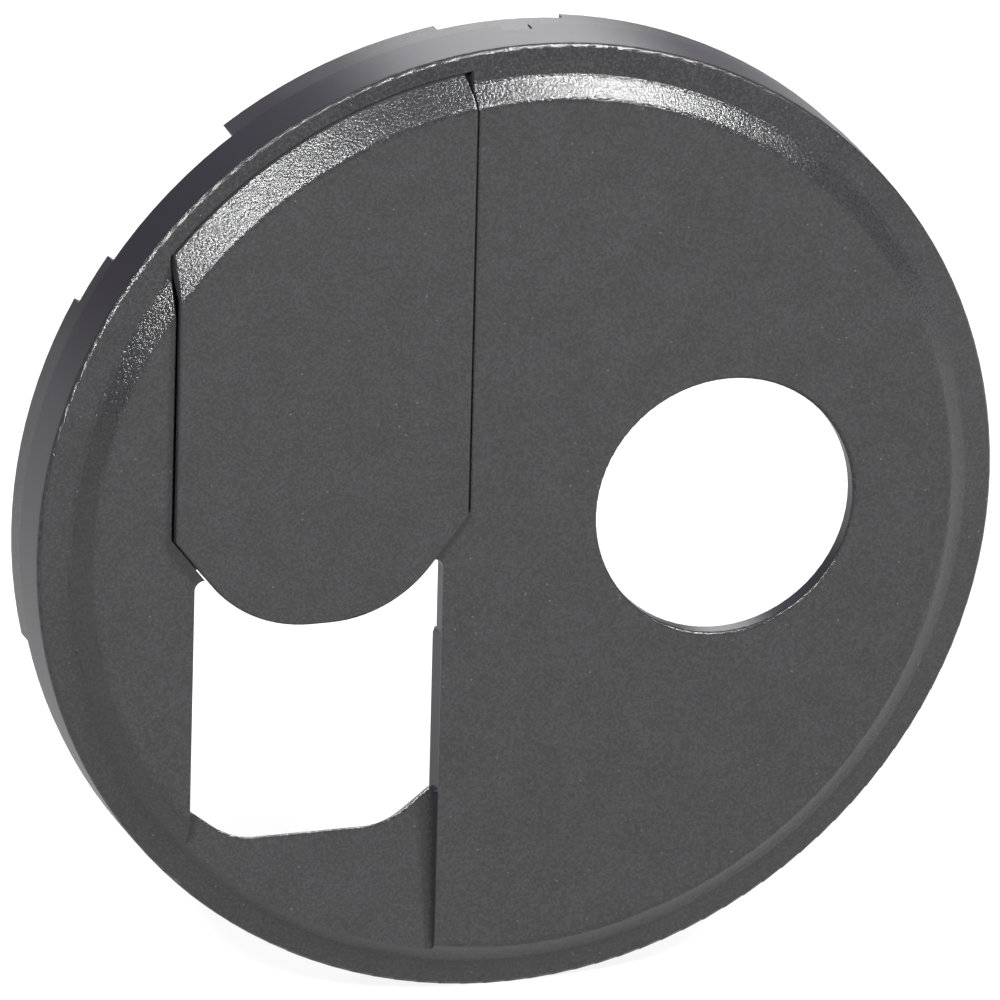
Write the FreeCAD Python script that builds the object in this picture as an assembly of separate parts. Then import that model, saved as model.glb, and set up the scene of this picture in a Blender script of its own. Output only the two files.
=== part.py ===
import FreeCAD, Part
import math
import os

# A round clip-fit cover plate for a combined data and coaxial outlet.
# Three separate pieces: the front cover, the shutter that slides over its data opening, and the
# rear carrier ring that snaps into the cover, traps the shutter's foot and clips to the outlet.
#
# Frame, in millimetres: +Z up, +X to the right seen from the front, +Y towards the wall.
# The origin is on the cover's axis, in the plane where the carrier's rear edge meets the wall plate.
# Most profiles are drawn with a depth measured backwards from the cover's flat face.

# ---------------------------------------------------------------- driving dimensions
COVER_R = 28.6            # radius of the cover at its front rim
SEAT_DEPTH = 6.65         # flat face to the carrier's rear edge
SKIN = 1.0                # wall thickness of the cover's face
PORT_X = 12.1             # the round coaxial opening, to the right of the axis
PORT_R = 7.7
SLOT_X = -12.2            # the data opening, to the left of the axis
SLOT_W = 14.85
SHUTTER_W = 17.5          # width of the sliding shutter
TRAVEL = 14.6             # slide from open (up) to closed (down)
PROUD = 0.5               # the shutter's face stands this far in front of the cover's face

# ---------------------------------------------------------------- rounded front edges
SHUTTER_ROUND = 0.2
NEST_ROUND_LEFT = 0.08
NEST_ROUND_RIGHT = 0.25
PORT_ROUND = 0.22
LIP_ROUND = 0.22

# ---------------------------------------------------------------- cover, worked out
FLAT_R = COVER_R - 2.93   # the flat face ends here
BEVEL_FOOT_R = FLAT_R + 1.15
BEVEL_DEPTH = 1.0
RIM_DEPTH = 1.42
PART_DEPTH = 4.75         # rear edge of the cover's skirt
SKIRT_R = COVER_R + 0.02  # the skirt widens slightly towards its rear edge
SKIRT_T = 1.2
SKIRT_IN_R = COVER_R - SKIRT_T
SLOT_HALF = SLOT_W / 2
LIP_Z = -17.85            # bottom lip of the data opening
LIP_UNDERCUT = 0.5        # behind its edge the lip falls away by this much per millimetre of depth
LIP_FLAT_HALF = 3.1       # flat middle of the lip, each side of the opening's centre
LIP_R = 4.5
LIP_ANGLE = 38.0          # the lip climbs at this angle to the sides
RAMP_LIP_DEPTH = 0.82     # finger recess below the lip: deepest at the lip
RAMP_SLOPE = 0.0564       # and this much shallower for each millimetre downwards
GUIDE_TOP_Z = -6.2        # the drafted guide faces in the opening start here
GUIDE_INSET = 0.12
GUIDE_LEAD = 0.35

# ---------------------------------------------------------------- shutter, worked out
SHUTTER_HALF = SHUTTER_W / 2
TIP_Z = -4.73             # lowest point of the shutter when it is open
TIP_FLAT_HALF = 0.57
TIP_R = 7.6
TIP_ANGLE = 52.0          # the lower end climbs at this angle to the square shoulders
SHUTTER_FLAT_R = 25.95    # the shutter has its own bevelled end, round the same axis
SHUTTER_TOP_R = SHUTTER_FLAT_R + 1.6
SHUTTER_TOP_DEPTH = 0.98
END_DRAFT = 0.42          # the bevelled end narrows by this much on its right towards its back
GAP = 0.08                # beside the shutter in its nest
END_GAP = 0.05            # at the shutter's upper end
RUN = 0.05                # sliding clearance front to back
RUNNER_LOW_Z = -0.4
CORE_HALF = 6.3           # the thick middle passes between the lower corners of the nest
END_WALL_T = 0.5          # wall at the shutter's upper end
CORE_BACK = 0.35
RUNNER_T = 1.0

# ---------------------------------------------------------------- nest for the shutter
NEST_FLOOR = 1.8
NEST_FLOOR_T = 1.0
NEST_HALF = SHUTTER_HALF + GAP
NEST_TOP_R = SHUTTER_TOP_R + END_GAP
SHUTTER_BACK = NEST_FLOOR - RUN
FLOOR_END_Z = -1.6        # straight top edge of the data opening, hidden behind the shutter
FLOOR_LIP_Z = FLOOR_END_Z - 0.85
FLOOR_CORNER_R = 0.6      # rounded upper corners of the data opening
STEM_HALF = 2.4
FOOT_HALF = 4.0
FOOT_LOW_Z = 15.3
FOOT_HIGH_Z = 19.6
STEM_SLOT_Z = FOOT_LOW_Z - TRAVEL - 0.15
FOOT_DEPTH = NEST_FLOOR + NEST_FLOOR_T + RUN
FOOT_T = 0.7

# ---------------------------------------------------------------- rear carrier, worked out
SPIGOT_R = SKIRT_IN_R - 0.1
RING_IN_R = 25.6
SPIGOT_DEPTH = 3.8
SEAM = 0.06               # gap between the cover's skirt and the carrier's flange
FLANGE_DEPTH = PART_DEPTH + SEAM
FLANGE_R = SKIRT_R - 0.08
LEDGE_DEPTH = 6.0
LOW_LEDGE_DEPTH = 5.45
WEB_DEPTH = 4.2
WEB_T = 1.0
WEB_BACK = WEB_DEPTH + WEB_T
PORT_CLEAR_R = 10.6
LEG_W = 5.0
LEG_T = 1.4
LEG_OUT_R = RING_IN_R - 0.6
LEG_DEPTH = SEAT_DEPTH + 3.8
HOOK = 0.9
LUG_ANGLE = 89.5
LUG_HALF_DEG = 1.62
NOTCH_HALF_DEG = 1.74
NOTCH_DEPTH = PART_DEPTH - 0.8
BEAD_DEPTH = 4.0
BEAD_T = 0.4
BEAD_GAP = 0.1
GROOVE_R = SKIRT_IN_R + 0.3
BEAD_R = GROOVE_R - 0.15
BEAD_HALF_DEG = 10.0
BEAD_ANGLES = (20, 70, 160, 200, 250, 340)
LEG_ANGLES = (0, 90, 180, 270)
WINDOW_X0, WINDOW_X1 = -19.9, -2.9
WINDOW_Z0, WINDOW_Z1 = -20.3, -0.9
COLLAR_T = 1.0
COLLAR_H = 1.0
RAIL_T = 1.0
TONGUE_W = 3.0
TONGUE_SLIT = 0.6
TONGUE_Z0, TONGUE_Z1 = 3.5, 13.0
# the flange is cut back in steps, the same on opposite sides: start and end angle, and its new
# front depth; None takes the whole step away
FLANGE_STEPS = [
    (82.8, 97.9, LEDGE_DEPTH),
    (144.9, 151.3, LEDGE_DEPTH - 0.15),
    (125.0, 144.9, None),
    (13.0, 46.0, LOW_LEDGE_DEPTH),
]

FAR = 60.0                # longer than anything in the part
NEAR = 0.01               # closer than this counts as touching
TINY = 1e-6               # shorter lines are left out of an outline
OVERLAP = 0.3             # shapes that are joined reach this far into each other
Y_AXIS = FreeCAD.Vector(0, 1, 0)
ORIGIN = FreeCAD.Vector(0, 0, 0)


def at_depth(depth):
    """Y of a plane that lies this far behind the cover's flat face."""
    return depth - SEAT_DEPTH


# ---------------------------------------------------------------- drawing helpers
def rounded_wire(corners, place):
    """Closed wire through corners (a, b, radius), each corner rounded, placed by place(a, b)."""
    count = len(corners)
    starts = []
    arcs = []
    for i in range(count):
        a, b, radius = corners[i]
        if radius == 0:
            starts.append((place(a, b), place(a, b)))
            arcs.append(None)
            continue
        before = corners[i - 1]
        after = corners[(i + 1) % count]
        in_len = math.hypot(before[0] - a, before[1] - b)
        out_len = math.hypot(after[0] - a, after[1] - b)
        ua, ub = (before[0] - a) / in_len, (before[1] - b) / in_len
        va, vb = (after[0] - a) / out_len, (after[1] - b) / out_len
        half = math.acos(max(-1.0, min(1.0, ua * va + ub * vb))) / 2
        cut = radius / math.tan(half)
        reach = radius / math.sin(half)
        wa, wb = ua + va, ub + vb
        w_len = math.hypot(wa, wb)
        wa, wb = wa / w_len, wb / w_len
        first = place(a + ua * cut, b + ub * cut)
        last = place(a + va * cut, b + vb * cut)
        middle = place(a + wa * (reach - radius), b + wb * (reach - radius))
        starts.append((first, last))
        arcs.append(Part.Arc(first, middle, last).toShape())
    edges = []
    for i in range(count):
        if arcs[i] is not None:
            edges.append(arcs[i])
        here = starts[i][1]
        there = starts[(i + 1) % count][0]
        if here.distanceToPoint(there) > TINY:
            edges.append(Part.makeLine(here, there))
    return Part.Wire(edges)


def turned(section):
    """Solid of revolution round the cover's axis; section corners are (radius, depth, rounding)."""
    wire = rounded_wire(section, lambda r, d: FreeCAD.Vector(r, at_depth(d), 0))
    return Part.Face(wire).revolve(ORIGIN, Y_AXIS, 360)


def plate(outline, front, back):
    """Flat plate between two depths; outline corners are (x, z, rounding)."""
    wire = rounded_wire(outline, lambda x, z: FreeCAD.Vector(x, at_depth(front), z))
    return Part.Face(wire).extrude(FreeCAD.Vector(0, back - front, 0))


def falling(outline, front, back, fall):
    """Prism whose outline moves down by fall for each millimetre backwards."""
    wire = rounded_wire(outline, lambda x, z: FreeCAD.Vector(x, at_depth(front), z))
    length = back - front
    return Part.Face(wire).extrude(FreeCAD.Vector(0, length, -fall * length))


def block(x0, x1, z0, z1, front, back):
    """Box between two depths."""
    corner = FreeCAD.Vector(x0, at_depth(front), z0)
    return Part.makeBox(x1 - x0, back - front, z1 - z0, corner)


def disc(radius, front, back, x=0.0, z=0.0):
    """Cylinder along the cover's axis direction, between two depths."""
    base = FreeCAD.Vector(x, at_depth(front), z)
    return Part.makeCylinder(radius, back - front, base, Y_AXIS)


def ring(outer, inner, front, back, x=0.0, z=0.0):
    """Tube between two depths."""
    return disc(outer, front, back, x, z).cut(disc(inner, front - 1, back + 1, x, z))


def sector(start, end, front, back):
    """Wedge of a big cylinder between two angles, counted from +X towards +Z."""
    points = [FreeCAD.Vector(0, at_depth(front), 0)]
    steps = max(2, int((end - start) / 20) + 2)
    for i in range(steps):
        angle = math.radians(start + (end - start) * i / (steps - 1))
        points.append(FreeCAD.Vector(FAR * math.cos(angle), at_depth(front), FAR * math.sin(angle)))
    points.append(points[0])
    face = Part.Face(Part.makePolygon(points))
    return face.extrude(FreeCAD.Vector(0, back - front, 0))


def joined(shapes):
    """One solid from overlapping shapes."""
    return shapes[0].multiFuse(shapes[1:]).removeSplitter()


def middle_of(edge):
    """The point halfway along an edge."""
    return edge.valueAt((edge.FirstParameter + edge.LastParameter) / 2)


def softened(shape, radius, chosen):
    """Rounds off every edge whose middle point passes the test."""
    edges = [edge for edge in shape.Edges if edge.Length > NEAR and chosen(middle_of(edge))]
    return shape.makeFillet(radius, edges)


# ---------------------------------------------------------------- outlines seen from the front
def bowl(half, low, flat_half, radius, angle, top):
    """Outline with straight sides and a bowl-shaped lower end, centred on the data opening."""
    tilt = math.radians(angle)
    corner = flat_half + radius * math.tan(tilt / 2)
    side_z = low + (half - corner) * math.tan(tilt)
    return [
        (SLOT_X - half, top, 0),
        (SLOT_X - half, side_z, 0),
        (SLOT_X - corner, low, radius),
        (SLOT_X + corner, low, radius),
        (SLOT_X + half, side_z, 0),
        (SLOT_X + half, top, 0),
    ]


def shutter_outline(grow):
    """The shutter's lower end and sides, moved outwards all round by grow."""
    return bowl(SHUTTER_HALF + grow, TIP_Z - grow, TIP_FLAT_HALF, TIP_R + grow, TIP_ANGLE, FAR)


def slot_outline(top):
    """The data opening, up to a straight top edge with rounded corners."""
    corners = bowl(SLOT_HALF, LIP_Z, LIP_FLAT_HALF, LIP_R, LIP_ANGLE, top)
    left, right = corners[0], corners[-1]
    return [(left[0], top, FLOOR_CORNER_R)] + corners[1:-1] + [(right[0], top, FLOOR_CORNER_R)]


# ---------------------------------------------------------------- front cover
def cover_outside():
    """Everything inside the cover's outer skin, as one solid body."""
    return turned([
        (0, 0, 0),
        (FLAT_R, 0, 0.6),
        (BEVEL_FOOT_R, BEVEL_DEPTH, 0.6),
        (COVER_R, RIM_DEPTH, 0.3),
        (SKIRT_R, PART_DEPTH, 0),
        (0, PART_DEPTH, 0),
    ])


def cover_hollow():
    """The space inside the cover."""
    return turned([
        (0, SKIN, 0),
        (FLAT_R - 0.4, SKIN, 0.6),
        (BEVEL_FOOT_R - 0.5, BEVEL_DEPTH + SKIN, 0.6),
        (SKIRT_IN_R, BEVEL_DEPTH + SKIN + 0.4, 0.3),
        (SKIRT_IN_R, PART_DEPTH + 1, 0),
        (0, PART_DEPTH + 1, 0),
    ])


def ramp_depth(z):
    """Depth of the finger recess below the lip."""
    return RAMP_LIP_DEPTH + RAMP_SLOPE * (z - LIP_Z)


def finger_recess(extra):
    """Prism in front of the finger recess's sloping floor, pushed back by extra."""
    top = LIP_Z + 6
    low = -COVER_R - 1
    x = SLOT_X - SLOT_HALF
    side = [
        FreeCAD.Vector(x, at_depth(-1), top),
        FreeCAD.Vector(x, at_depth(ramp_depth(top) + extra), top),
        FreeCAD.Vector(x, at_depth(ramp_depth(low) + extra), low),
        FreeCAD.Vector(x, at_depth(-1), low),
    ]
    face = Part.Face(Part.makePolygon(side + [side[0]]))
    return face.extrude(FreeCAD.Vector(SLOT_W, 0, 0))


def nest_tub():
    """Walls and floor of the recess that the shutter lies in."""
    walls = plate(shutter_outline(GAP + NEST_FLOOR_T), SKIN / 2, NEST_FLOOR + NEST_FLOOR_T)
    above = block(-FAR, FAR, FLOOR_END_Z, FAR, -1, FAR)
    inside = disc(SKIRT_IN_R + OVERLAP, -1, PART_DEPTH)
    return walls.common(above).common(inside).common(cover_outside())


def floor_lip():
    """The nest's floor reaches down behind the shutter's slanting corners."""
    floor = plate(shutter_outline(0), NEST_FLOOR, NEST_FLOOR + NEST_FLOOR_T)
    return floor.common(block(-FAR, FAR, FLOOR_LIP_Z, FLOOR_END_Z + OVERLAP, 0, FAR))


def guide_faces():
    """Two drafted faces, one each side of the opening, that stand slightly inside its edges."""
    front = 0.1
    back = SKIN + 0.3
    low = LIP_Z + 1.0
    faces = []
    for side in (-1, 1):
        edge = SLOT_X + side * SLOT_HALF
        inner = edge - side * GUIDE_INSET
        outer = edge + side * 0.4
        corners = [(outer, front), (edge, front), (inner, back), (outer, back)]
        points = [FreeCAD.Vector(x, at_depth(d), low) for x, d in corners]
        bar = Part.Face(Part.makePolygon(points + [points[0]]))
        bar = bar.extrude(FreeCAD.Vector(0, 0, GUIDE_TOP_Z - low))
        lead_in = plate([
            (outer, low, 0),
            (inner, low, 0),
            (inner, GUIDE_TOP_Z - GUIDE_LEAD, 0),
            (edge, GUIDE_TOP_Z, 0),
            (outer, GUIDE_TOP_Z, 0),
        ], front - 0.1, back)
        faces.append(bar.common(lead_in).common(cover_outside()))
    return faces


def on_nest_edge(point, side):
    """True on the front edge beside the shutter, on the face and on the bevel; side is -1 or 1."""
    beside = abs(point.x - SLOT_X - side * NEST_HALF) < NEAR
    return beside and point.z > 2 and point.y < at_depth(RIM_DEPTH)


def on_port_edge(point):
    """True on the front edge of the round opening."""
    across = math.hypot(point.x - PORT_X, point.z)
    return abs(across - PORT_R) < NEAR and abs(point.y - at_depth(0)) < NEAR


def on_lip_edge(point):
    """True on the front edge of the opening's bottom lip."""
    within = abs(point.x - SLOT_X) < SLOT_HALF - NEAR
    low = LIP_Z - NEAR < point.z < LIP_Z + 3
    return within and low and abs(point.y - at_depth(ramp_depth(point.z))) < NEAR


def front_cover():
    outside = cover_outside()
    body = outside.cut(cover_hollow())
    pad = finger_recess(SKIN).common(outside)
    pad = pad.cut(block(-FAR, FAR, LIP_Z + 3, FAR, -1, FAR))
    body = joined([body, nest_tub(), pad])
    nest = plate(shutter_outline(GAP), -1, NEST_FLOOR)
    nest = nest.common(disc(NEST_TOP_R, -1, NEST_FLOOR))
    nest = nest.common(block(-FAR, FAR, FLOOR_END_Z - 1, FAR, -2, FAR))
    body = body.cut(nest)
    body = body.cut(finger_recess(0).cut(block(-FAR, FAR, LIP_Z + 2, FAR, -2, FAR)))
    body = body.cut(plate(slot_outline(FLOOR_END_Z), -1, PART_DEPTH + 1))
    body = softened(body, LIP_ROUND, on_lip_edge)
    body = body.cut(falling(slot_outline(FLOOR_END_Z), RAMP_LIP_DEPTH, PART_DEPTH, LIP_UNDERCUT))
    body = softened(body, NEST_ROUND_RIGHT, lambda point: on_nest_edge(point, 1))
    body = softened(body, NEST_ROUND_LEFT, lambda point: on_nest_edge(point, -1))
    body = joined([body, floor_lip()] + guide_faces())
    body = body.cut(block(SLOT_X - STEM_HALF - 0.1, SLOT_X + STEM_HALF + 0.1,
                          STEM_SLOT_Z, FOOT_HIGH_Z + 0.9, -1, PART_DEPTH))
    body = body.cut(disc(PORT_R, -1, PART_DEPTH, PORT_X, 0))
    body = softened(body, PORT_ROUND, on_port_edge)
    notch = sector(LUG_ANGLE - NOTCH_HALF_DEG, LUG_ANGLE + NOTCH_HALF_DEG, NOTCH_DEPTH, PART_DEPTH + 1)
    body = body.cut(notch)
    groove = ring(GROOVE_R, SKIRT_IN_R - 1, BEAD_DEPTH - BEAD_GAP, BEAD_DEPTH + BEAD_T + BEAD_GAP)
    body = body.cut(groove)
    return body


# ---------------------------------------------------------------- shutter
def shutter_front():
    """Everything behind the shutter's front surface: flat, then its bevelled upper end."""
    return turned([
        (0, -PROUD, 0),
        (SHUTTER_FLAT_R, -PROUD, 0.6),
        (SHUTTER_TOP_R, SHUTTER_TOP_DEPTH, 0.12),
        (SHUTTER_TOP_R, PART_DEPTH, 0),
        (0, PART_DEPTH, 0),
    ])


def shutter_back(radius, depth):
    """Everything behind the shutter's back surface, which also bends backwards at the upper end."""
    end_radius = SHUTTER_TOP_R - END_WALL_T
    return turned([
        (0, depth, 0),
        (radius, depth, 0),
        (end_radius, SHUTTER_BACK, 0),
        (end_radius, PART_DEPTH, 0),
        (0, PART_DEPTH, 0),
    ])


def end_draft():
    """Slanting wedge that narrows the right side of the shutter's bevelled end towards its back."""
    depth = 2 * (SHUTTER_TOP_DEPTH + PROUD)
    edge = SLOT_X + SHUTTER_HALF
    corners = [
        (edge, -PROUD),
        (edge + 1, -PROUD),
        (edge + 1, -PROUD + depth),
        (edge - 2 * END_DRAFT, -PROUD + depth),
    ]
    points = [FreeCAD.Vector(x, at_depth(d), 0) for x, d in corners]
    wedge = Part.Face(Part.makePolygon(points + [points[0]])).extrude(FreeCAD.Vector(0, 0, FAR))
    return wedge.cut(disc(SHUTTER_FLAT_R - 0.1, -1, FAR))


def on_shutter_rim(point):
    """True on the edges of the shutter's front and at its shoulders, but not at its upper end."""
    beside = abs(abs(point.x - SLOT_X) - SHUTTER_HALF) < NEAR
    return point.y < at_depth(SHUTTER_TOP_DEPTH - 0.1) and (beside or point.z < 1)


def shutter():
    blank = plate(shutter_outline(0), -1, SHUTTER_BACK).common(shutter_front())
    blank = softened(blank, SHUTTER_ROUND, on_shutter_rim)
    blank = blank.cut(end_draft())
    middle = block(SLOT_X - CORE_HALF, SLOT_X + CORE_HALF, -FAR, FAR, -2, FAR)
    wings = blank.cut(middle).cut(shutter_back(SHUTTER_FLAT_R + 0.15, -RUN))
    core = blank.common(middle).cut(shutter_back(SHUTTER_FLAT_R - 0.4, CORE_BACK))
    shapes = [core, wings]
    for side in (-1, 1):
        inner = SLOT_X + side * (CORE_HALF - RUNNER_T)
        outer = SLOT_X + side * CORE_HALF
        runner = block(min(inner, outer), max(inner, outer), RUNNER_LOW_Z, FAR, 0, SHUTTER_BACK)
        shapes.append(runner.common(blank))
    stem = block(SLOT_X - STEM_HALF, SLOT_X + STEM_HALF, FOOT_LOW_Z, FOOT_HIGH_Z, 0, FOOT_DEPTH + FOOT_T)
    foot = block(SLOT_X - FOOT_HALF, SLOT_X + FOOT_HALF, FOOT_LOW_Z, FOOT_HIGH_Z,
                 FOOT_DEPTH, FOOT_DEPTH + FOOT_T)
    return joined(shapes + [stem, foot])


# ---------------------------------------------------------------- rear carrier
def castellated_flange():
    """The part of the carrier that shows behind the skirt, cut back in steps."""
    flange = ring(FLANGE_R, SPIGOT_R - OVERLAP, FLANGE_DEPTH, SEAT_DEPTH)
    keep = ring(SPIGOT_R - 0.2, SPIGOT_R - 1, FLANGE_DEPTH, SEAT_DEPTH)
    for start, end, depth in FLANGE_STEPS:
        front = FLANGE_DEPTH - 1 if depth is None else depth
        for turn in (0, 180):
            flange = flange.cut(sector(start + turn, end + turn, front, SEAT_DEPTH + 1))
    return flange.fuse(keep)


def data_window(grow):
    """Clearance in the carrier behind the data opening, moved outwards by grow."""
    return block(WINDOW_X0 - grow, WINDOW_X1 + grow, WINDOW_Z0 - grow, WINDOW_Z1 + grow, -1, FAR)


def snap_leg(angle):
    """Springy leg with a hooked end that clips into the outlet."""
    section = [
        (LEG_OUT_R - LEG_T, WEB_BACK - OVERLAP),
        (LEG_OUT_R, WEB_BACK - OVERLAP),
        (LEG_OUT_R, LEG_DEPTH - 1.8),
        (LEG_OUT_R + HOOK, LEG_DEPTH - 1.6),
        (LEG_OUT_R, LEG_DEPTH),
        (LEG_OUT_R - LEG_T, LEG_DEPTH),
    ]
    points = [FreeCAD.Vector(r, at_depth(d), -LEG_W / 2) for r, d in section]
    leg = Part.Face(Part.makePolygon(points + [points[0]])).extrude(FreeCAD.Vector(0, 0, LEG_W))
    leg.rotate(ORIGIN, Y_AXIS, -angle)
    return leg


def foot_guides():
    """Rails and end stops that the shutter's foot slides between."""
    inside = FOOT_HALF + 0.15
    front = NEST_FLOOR + NEST_FLOOR_T + 0.15
    low = RUNNER_LOW_Z - 0.1
    high = FOOT_HIGH_Z + 1.0
    shapes = []
    for side in (-1, 1):
        x = SLOT_X + side * (inside + RAIL_T / 2)
        shapes.append(block(x - RAIL_T / 2, x + RAIL_T / 2, low, high, front, WEB_DEPTH + OVERLAP))
    stops = [
        (low, FOOT_LOW_Z - TRAVEL - 0.1),
        (FOOT_HIGH_Z + 0.15, high),
    ]
    reach = inside + 0.1
    for z0, z1 in stops:
        shapes.append(block(SLOT_X - reach, SLOT_X + reach, z0, z1, front, WEB_DEPTH + OVERLAP))
    return [shape.common(disc(RING_IN_R - 0.1, 0, SEAT_DEPTH)) for shape in shapes]


def detent_cut():
    """U-shaped slit that frees a springy tongue in the web."""
    half = TONGUE_W / 2
    slit = TONGUE_SLIT
    left = block(SLOT_X - half - slit, SLOT_X - half, TONGUE_Z0, TONGUE_Z1, 0, FAR)
    right = block(SLOT_X + half, SLOT_X + half + slit, TONGUE_Z0, TONGUE_Z1, 0, FAR)
    end = block(SLOT_X - half - slit, SLOT_X + half + slit, TONGUE_Z0 - slit, TONGUE_Z0, 0, FAR)
    return joined([left, right, end])


def detent_bump():
    """Low ridge on the tongue that rubs on the shutter's foot."""
    top = FOOT_DEPTH + FOOT_T + RUN
    z = TONGUE_Z0 + 0.9
    ridge = Part.makePolygon([
        FreeCAD.Vector(SLOT_X - 1, at_depth(WEB_DEPTH + 0.2), z - 0.8),
        FreeCAD.Vector(SLOT_X - 1, at_depth(top), z - 0.15),
        FreeCAD.Vector(SLOT_X - 1, at_depth(top), z + 0.15),
        FreeCAD.Vector(SLOT_X - 1, at_depth(WEB_DEPTH + 0.2), z + 0.8),
        FreeCAD.Vector(SLOT_X - 1, at_depth(WEB_DEPTH + 0.2), z - 0.8),
    ])
    return Part.Face(ridge).extrude(FreeCAD.Vector(2, 0, 0))


def rear_carrier():
    web = disc(RING_IN_R + OVERLAP, WEB_DEPTH, WEB_BACK)
    collars = [disc(PORT_CLEAR_R + COLLAR_T, WEB_BACK - OVERLAP, WEB_BACK + COLLAR_H, PORT_X, 0)]
    behind = disc(RING_IN_R + OVERLAP, WEB_BACK - OVERLAP, WEB_BACK + COLLAR_H)
    frame = data_window(COLLAR_T).common(behind)
    body = joined([web, frame] + collars)
    body = body.cut(disc(PORT_CLEAR_R, 0, FAR, PORT_X, 0))
    body = body.cut(data_window(0))
    body = body.cut(detent_cut())
    spigot = ring(SPIGOT_R, RING_IN_R, SPIGOT_DEPTH, SEAT_DEPTH)
    lug_sector = sector(LUG_ANGLE - LUG_HALF_DEG, LUG_ANGLE + LUG_HALF_DEG, NOTCH_DEPTH, SEAT_DEPTH)
    lug = ring(FLANGE_R, SPIGOT_R - OVERLAP, NOTCH_DEPTH + SEAM, FLANGE_DEPTH + OVERLAP)
    lug = lug.common(lug_sector)
    bead = ring(BEAD_R, SPIGOT_R - OVERLAP, BEAD_DEPTH, BEAD_DEPTH + BEAD_T)
    beads = []
    for angle in BEAD_ANGLES:
        beads.append(bead.common(sector(angle - BEAD_HALF_DEG, angle + BEAD_HALF_DEG, 0, SEAT_DEPTH)))
    legs = [snap_leg(angle) for angle in LEG_ANGLES]
    shapes = [body, spigot, castellated_flange(), lug, detent_bump()]
    return joined(shapes + beads + legs + foot_guides())


# ---------------------------------------------------------------- write the pieces
os.makedirs("parts", exist_ok=True)
PIECES = {
    "front_cover": front_cover,
    "shutter": shutter,
    "rear_carrier": rear_carrier,
}
for name, make in PIECES.items():
    piece = make()
    assert piece.isValid() and len(piece.Solids) == 1, name
    piece.Solids[0].exportStep("parts/" + name + ".step")
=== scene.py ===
import math

import bpy
from mathutils import Matrix, Vector


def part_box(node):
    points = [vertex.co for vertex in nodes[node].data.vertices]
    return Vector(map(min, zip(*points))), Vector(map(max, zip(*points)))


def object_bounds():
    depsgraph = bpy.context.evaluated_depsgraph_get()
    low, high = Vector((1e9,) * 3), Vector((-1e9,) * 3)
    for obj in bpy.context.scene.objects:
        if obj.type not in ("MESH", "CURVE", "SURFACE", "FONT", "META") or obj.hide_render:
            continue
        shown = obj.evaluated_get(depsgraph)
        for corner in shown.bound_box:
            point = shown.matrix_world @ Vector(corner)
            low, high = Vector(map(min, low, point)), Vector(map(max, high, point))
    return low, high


# A round graphite outlet cover plate, standing upright on a pale floor.
# Everything is in metres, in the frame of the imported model: +Z up, +Y towards the wall.

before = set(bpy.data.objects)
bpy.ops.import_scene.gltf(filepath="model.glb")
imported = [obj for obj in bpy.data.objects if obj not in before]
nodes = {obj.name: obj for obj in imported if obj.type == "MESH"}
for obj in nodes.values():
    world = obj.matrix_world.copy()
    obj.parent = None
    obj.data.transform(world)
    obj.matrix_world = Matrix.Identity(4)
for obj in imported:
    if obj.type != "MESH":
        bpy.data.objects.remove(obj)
cad_low, cad_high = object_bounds()

MM = 0.001
FACE_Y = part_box("front_cover")[0].y      # the cover's flat face


# ---------------------------------------------------------------- node helpers
class Tree:
    """Short way to build a node tree."""

    def __init__(self, tree):
        self.tree = tree
        tree.nodes.clear()

    def add(self, kind, **settings):
        node = self.tree.nodes.new(kind)
        inputs = settings.pop("inputs", {})
        for name, value in settings.items():
            setattr(node, name, value)
        for name, value in inputs.items():
            self.put(node.inputs[name], value)
        return node

    def put(self, socket, value):
        """Sets an input to a value, or links it to another node's output."""
        if isinstance(value, bpy.types.NodeSocket):
            self.tree.links.new(value, socket)
        else:
            socket.default_value = value

    def math(self, operation, a, b=0.0):
        node = self.add("ShaderNodeMath", operation=operation)
        self.put(node.inputs[0], a)
        self.put(node.inputs[1], b)
        return node.outputs[0]

    def smooth(self, value, start, end, low=0.0, high=1.0):
        """Smooth step of value from low at start to high at end."""
        node = self.add("ShaderNodeMapRange", interpolation_type="SMOOTHSTEP")
        for name, entry in (("Value", value), ("From Min", start), ("From Max", end),
                            ("To Min", low), ("To Max", high)):
            self.put(node.inputs[name], entry)
        return node.outputs["Result"]

    def mix(self, factor, a, b):
        """Colour a where factor is 0, colour b where it is 1."""
        node = self.add("ShaderNodeMix", data_type="RGBA")
        self.put(node.inputs[0], factor)
        self.put(node.inputs[6], a)
        self.put(node.inputs[7], b)
        return node.outputs[2]

    def noise(self, place, size, detail=2.0, roughness=0.5):
        """Noise whose lumps are about this size, in metres."""
        return self.add("ShaderNodeTexNoise", inputs={
            "Vector": place, "Scale": 1.0 / size, "Detail": detail, "Roughness": roughness,
        }).outputs["Fac"]


def grey(value, tint=(1.0, 1.0, 1.0)):
    return (value * tint[0], value * tint[1], value * tint[2], 1.0)


# ---------------------------------------------------------------- materials
PLASTIC_IOR = 1.5
GRAIN = 0.16 * MM                        # size of the grain's lumps
GRAIN_HEIGHT = 0.05 * MM
SPECK = 0.21 * MM                        # spacing of the cells that may hold a flake with a painted glint
FLAKE_FROM = 0.991                       # a cell holds a flake if its random number is above this
FACE_TINT = (1, 1, 1.05)
SIDE_TINT = (1.0, 0.93, 1.2)             # the smooth sides look slightly violet


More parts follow.
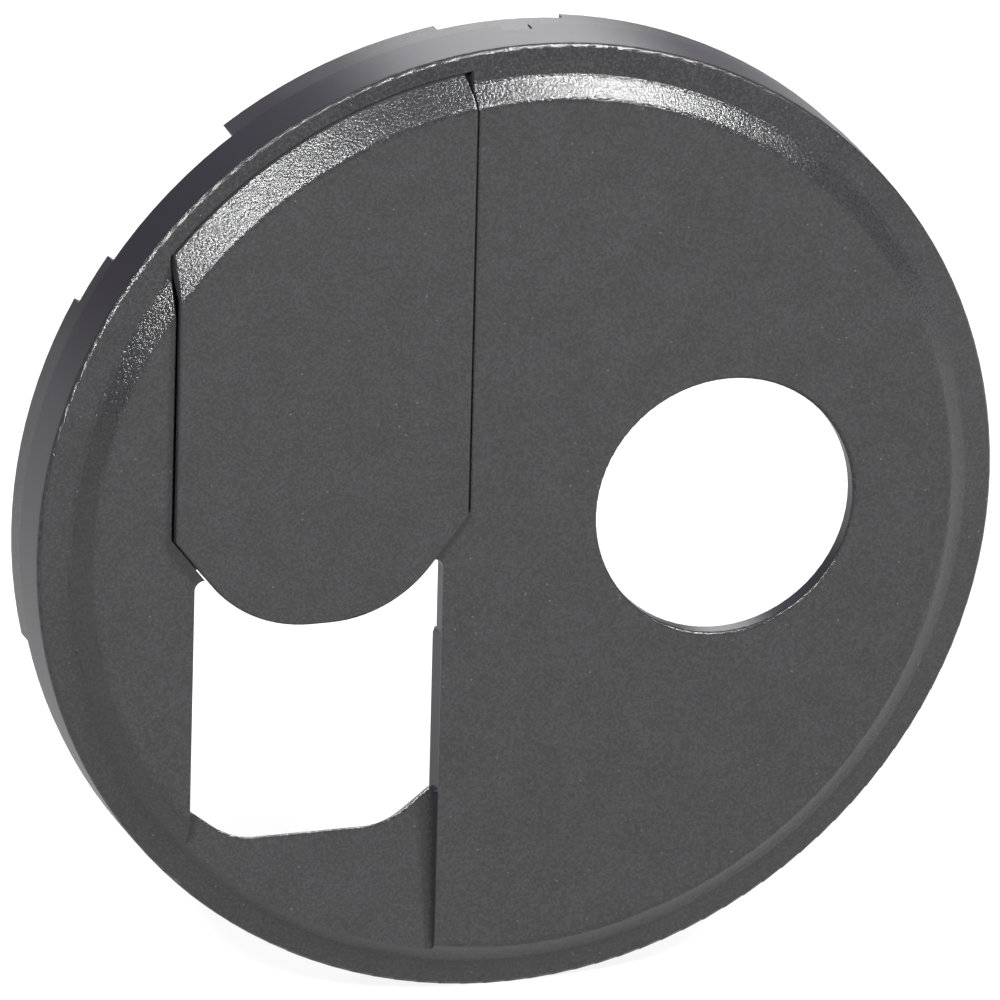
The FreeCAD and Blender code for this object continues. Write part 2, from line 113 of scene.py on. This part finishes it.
def painted_flake_glints(t, place):
    """1 on the few small flakes in the grain, 0 elsewhere; the flakes are painted lighter as a
    painted glint for their sparkle.
    """
    cell = t.add("ShaderNodeTexVoronoi", feature="F1", inputs={
        "Vector": place, "Scale": 1.0 / SPECK, "Randomness": 1.0,
    })
    chance = t.add("ShaderNodeSeparateColor", inputs={"Color": cell.outputs["Color"]})
    picked = t.math("GREATER_THAN", chance.outputs["Red"], FLAKE_FROM)
    dot = t.smooth(cell.outputs["Distance"], 0.16, 0.34, 1.0, 0.0)
    return t.math("MULTIPLY", picked, dot)


def graphite():
    """Graphite plastic: fine sparkling grain in front, its flakes painted lighter as painted
    glints, smooth satin on the skirt and walls.
    """
    material = bpy.data.materials.new("graphite_grain")
    material.use_nodes = True
    t = Tree(material.node_tree)
    coordinates = t.add("ShaderNodeTexCoord")
    place = coordinates.outputs["Object"]
    facing = t.add("ShaderNodeSeparateXYZ", inputs={"Vector": coordinates.outputs["Normal"]})
    front = t.smooth(facing.outputs["Y"], -0.30, -0.12, 1.0, 0.0)
    bevel = t.smooth(facing.outputs["Y"], -0.97, -0.90, 0.0, 1.0)

    fine = t.noise(place, GRAIN, 3.0, 0.6)
    broad = t.noise(place, 2.4 * MM, 3.0, 0.55)
    shade = t.smooth(fine, 0.35, 0.65, 0.0, 1.0)
    face = t.mix(shade, grey(0.0102, FACE_TINT), grey(0.0162, FACE_TINT))
    tone = t.smooth(broad, 0.3, 0.7, 0.94, 1.06)
    scaled = t.add("ShaderNodeVectorMath", operation="SCALE", inputs={0: face, "Scale": tone})
    colour = t.mix(front, grey(0.015, SIDE_TINT), scaled.outputs[0])
    # the grain's flakes are real but painted lighter: a painted glint that stands in for their
    # sparkle
    flake_glint = t.math("MULTIPLY", painted_flake_glints(t, place), front)
    colour = t.mix(flake_glint, colour, grey(0.045))

    # the bevel is glossier than the flat face, and its grain stands out more
    rough_low = t.smooth(bevel, 0.0, 1.0, 0.21, 0.13)
    rough_high = t.smooth(bevel, 0.0, 1.0, 0.30, 0.19)
    rough_face = t.smooth(fine, 0.3, 0.7, rough_low, rough_high)
    rough = t.add("ShaderNodeMix", data_type="FLOAT", inputs={0: front, 2: 0.36, 3: rough_face})
    rise = t.smooth(bevel, 0.0, 1.0, 0.45, 0.85)
    grained = t.smooth(front, 0.0, 1.0, 0.12, 1.0)
    height = t.math("MULTIPLY", fine, t.math("MULTIPLY", rise, grained))
    bump = t.add("ShaderNodeBump", inputs={
        "Strength": 1.0, "Distance": GRAIN_HEIGHT, "Height": height,
    })
    shader = t.add("ShaderNodeBsdfPrincipled", inputs={
        "Base Color": colour, "Roughness": rough.outputs[0], "Normal": bump.outputs[0],
        "IOR": PLASTIC_IOR, "Specular IOR Level": t.smooth(front, 0.0, 1.0, 0.13, 0.28),
    })
    t.add("ShaderNodeOutputMaterial", inputs={"Surface": shader.outputs[0]})
    return material


def satin():
    """Smooth dark moulded plastic of the carrier ring."""
    material = bpy.data.materials.new("satin_dark")
    material.use_nodes = True
    t = Tree(material.node_tree)
    place = t.add("ShaderNodeTexCoord").outputs["Object"]
    fine = t.noise(place, 0.12 * MM, 2.0)
    broad = t.noise(place, 3.0 * MM, 3.0)
    tone = t.smooth(broad, 0.3, 0.7, 0.0, 1.0)
    colour = t.mix(tone, grey(0.016, (1.0, 0.95, 1.14)), grey(0.020, (1.0, 0.96, 1.1)))
    rough = t.smooth(fine, 0.3, 0.7, 0.34, 0.42)
    bump = t.add("ShaderNodeBump", inputs={
        "Strength": 0.12, "Distance": 0.02 * MM, "Height": fine,
    })
    shader = t.add("ShaderNodeBsdfPrincipled", inputs={
        "Base Color": colour, "Roughness": rough, "Normal": bump.outputs[0],
        "IOR": PLASTIC_IOR, "Specular IOR Level": 0.17,
    })
    t.add("ShaderNodeOutputMaterial", inputs={"Surface": shader.outputs[0]})
    return material


def pale_floor():
    """Matt floor with a light of its own, so that it stays pale in the shadows."""
    material = bpy.data.materials.new("pale_floor")
    material.use_nodes = True
    t = Tree(material.node_tree)
    place = t.add("ShaderNodeTexCoord").outputs["Object"]
    tone = t.noise(place, 300 * MM)
    colour = t.mix(tone, grey(0.10), grey(0.11))
    shader = t.add("ShaderNodeBsdfPrincipled", inputs={
        "Base Color": colour, "Roughness": 0.9,
        "Emission Color": grey(1.0), "Emission Strength": 0.9,
    })
    t.add("ShaderNodeOutputMaterial", inputs={"Surface": shader.outputs[0]})
    return material


# ---------------------------------------------------------------- pieces
def finish_node(name, material):
    """A CAD node gets its material."""
    for material_slot in nodes[name].material_slots:
        material_slot.material = material


graphite_grain = graphite()
finish_node("front_cover", graphite_grain)
finish_node("shutter", graphite_grain)
finish_node("rear_carrier", satin())


# ---------------------------------------------------------------- floor
FLOOR_HALF = 3.0


def add_floor():
    """Square floor, centred under the plate at its lowest point."""
    z = cad_low.z
    mesh = bpy.data.meshes.new("floor")
    corners = [
        (-FLOOR_HALF, -FLOOR_HALF, z),
        (FLOOR_HALF, -FLOOR_HALF, z),
        (FLOOR_HALF, FLOOR_HALF, z),
        (-FLOOR_HALF, FLOOR_HALF, z),
    ]
    mesh.from_pydata(corners, [], [(0, 1, 2, 3)])
    mesh.materials.append(pale_floor())
    floor = bpy.data.objects.new("floor", mesh)
    bpy.context.scene.collection.objects.link(floor)


add_floor()


# ---------------------------------------------------------------- camera
CAMERA_DISTANCE = 1.9
WIDTHS_PER_METRE = 17.544                # image widths per metre of the object
VIEW_FROM = (-18.414, 20.667)            # azimuth and elevation, in degrees
VIEW_ROLL = 1.394
TARGET_RIGHT = -1.362 * MM               # the picture's centre, from the centre of the face
TARGET_UP = 1.415 * MM


def direction(azimuth, elevation):
    """Unit vector from the object towards a camera or light; azimuth 0 is in front of the face."""
    a, e = math.radians(azimuth), math.radians(elevation)
    return Vector((math.sin(a) * math.cos(e), -math.cos(a) * math.cos(e), math.sin(e)))


def add_camera():
    """Long lens from the upper left, turned slightly about its line of sight."""
    back = direction(*VIEW_FROM)
    turn = (-back).to_track_quat("-Z", "Y").to_matrix().to_4x4()
    turn = turn @ Matrix.Rotation(math.radians(VIEW_ROLL), 4, "Z")
    right, up = turn.col[0].xyz, turn.col[1].xyz
    target = Vector((0, FACE_Y, 0)) + right * TARGET_RIGHT + up * TARGET_UP
    data = bpy.data.cameras.new("camera")
    data.sensor_width = 36.0
    data.lens = WIDTHS_PER_METRE * CAMERA_DISTANCE * data.sensor_width
    data.clip_start = 0.05
    data.clip_end = 20.0
    camera = bpy.data.objects.new("camera", data)
    camera.matrix_world = Matrix.Translation(target + back * CAMERA_DISTANCE) @ turn
    bpy.context.scene.collection.objects.link(camera)
    bpy.context.scene.camera = camera


add_camera()


# ---------------------------------------------------------------- light
ROOM_STRENGTH = 0.08
# name, its two ends as (azimuth, elevation), width, distance and radiance
SOFTBOXES = [
    ("softbox_right", (52, 43), (42, 48), 0.18, 0.7, 275.0),
    ("softbox_left", (-40, 34), (-34, 40), 0.15, 0.7, 290.0),
    ("overhead", (0, 50), (180, 50), 1.2, 1.0, 0.3),
    ("back_panel", (150, 24), (176, 24), 0.4, 1.0, 7.0),
]


def add_softbox(name, first, last, width, distance, radiance):
    """Strip light seen from the object between two directions, with its long side along them."""
    start, end = direction(*first), direction(*last)
    toward = (start + end).normalized()
    along = (start - end).normalized()
    across = toward.cross(along)
    data = bpy.data.lights.new(name, "AREA")
    data.shape = "RECTANGLE"
    data.size = (start - end).length * distance
    data.size_y = width
    data.energy = radiance * math.pi * data.size * data.size_y
    light = bpy.data.objects.new(name, data)
    turn = Matrix((along, across, toward)).transposed().to_4x4()
    light.matrix_world = Matrix.Translation(toward * distance) @ turn
    bpy.context.scene.collection.objects.link(light)


for softbox in SOFTBOXES:
    add_softbox(*softbox)


def add_world():
    """A dim room whose backdrop shows as pale as the floor."""
    world = bpy.data.worlds.new("studio")
    world.use_nodes = True
    t = Tree(world.node_tree)
    seen = t.add("ShaderNodeLightPath").outputs["Is Camera Ray"]
    strength = t.smooth(seen, 0.0, 1.0, ROOM_STRENGTH, 1.0)
    background = t.add("ShaderNodeBackground", inputs={"Color": grey(1.0), "Strength": strength})
    t.add("ShaderNodeOutputWorld", inputs={"Surface": background.outputs[0]})
    bpy.context.scene.world = world


add_world()
bpy.context.scene.view_settings.view_transform = "Standard"
